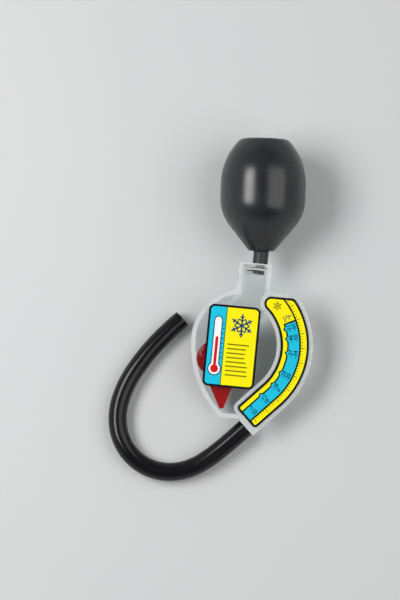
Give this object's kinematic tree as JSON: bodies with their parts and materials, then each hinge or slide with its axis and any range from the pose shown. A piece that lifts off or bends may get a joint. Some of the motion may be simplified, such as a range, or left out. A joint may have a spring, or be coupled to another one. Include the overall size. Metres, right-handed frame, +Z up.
{
  "type": "antifreeze tester",
  "caption": "Flat clear coolant tester with a swinging red pointer, a curved temperature scale, a black squeeze bulb and a free rubber hose.",
  "frame": {"origin": "on the table, under the middle of the box round the lying tester without its hose", "axes": "+Y towards the bulb's crown, +X towards the scale, +Z up off the table; the tester lies on its back, on the bulb's belly and the body's hose end"},
  "size_m": [0.1058, 0.1887, 0.0468],
  "materials": {
    "bulb_rubber": "satin",
    "hose_rubber": "satin",
    "clear_plastic": "clear, glossy",
    "red_plastic": "glossy",
    "pin_steel": "ground",
    "weight_brass": "turned",
    "label_film": "printed film"
  },
  "bodies": {
    "case": {"rear_shell": "clear_plastic", "front_shell": "clear_plastic", "pivot_pin": "pin_steel", "scale_label": "label_film", "front_label": "label_film", "hose": "hose_rubber"},
    "pointer": {"pointer": "red_plastic", "pointer_weight": "weight_brass"},
    "bulb": {"squeeze_bulb": "bulb_rubber"}
  },
  "joints": [
    {"name": "pointer_swing", "type": "hinge", "parent": "case", "child": "pointer", "pos_m": [-0.0161, -0.0342, 0.01307], "axis": [0, -0.1178, 0.993], "range_deg": [-1, 158]},
    {"name": "bulb_squeeze", "type": "slide", "parent": "case", "child": "bulb", "axis": [0, 0.1178, -0.993], "range_m": [0, 0.01], "stiffness_N_per_m": 1200, "deforming": ["squeeze_bulb"]}
  ]
}
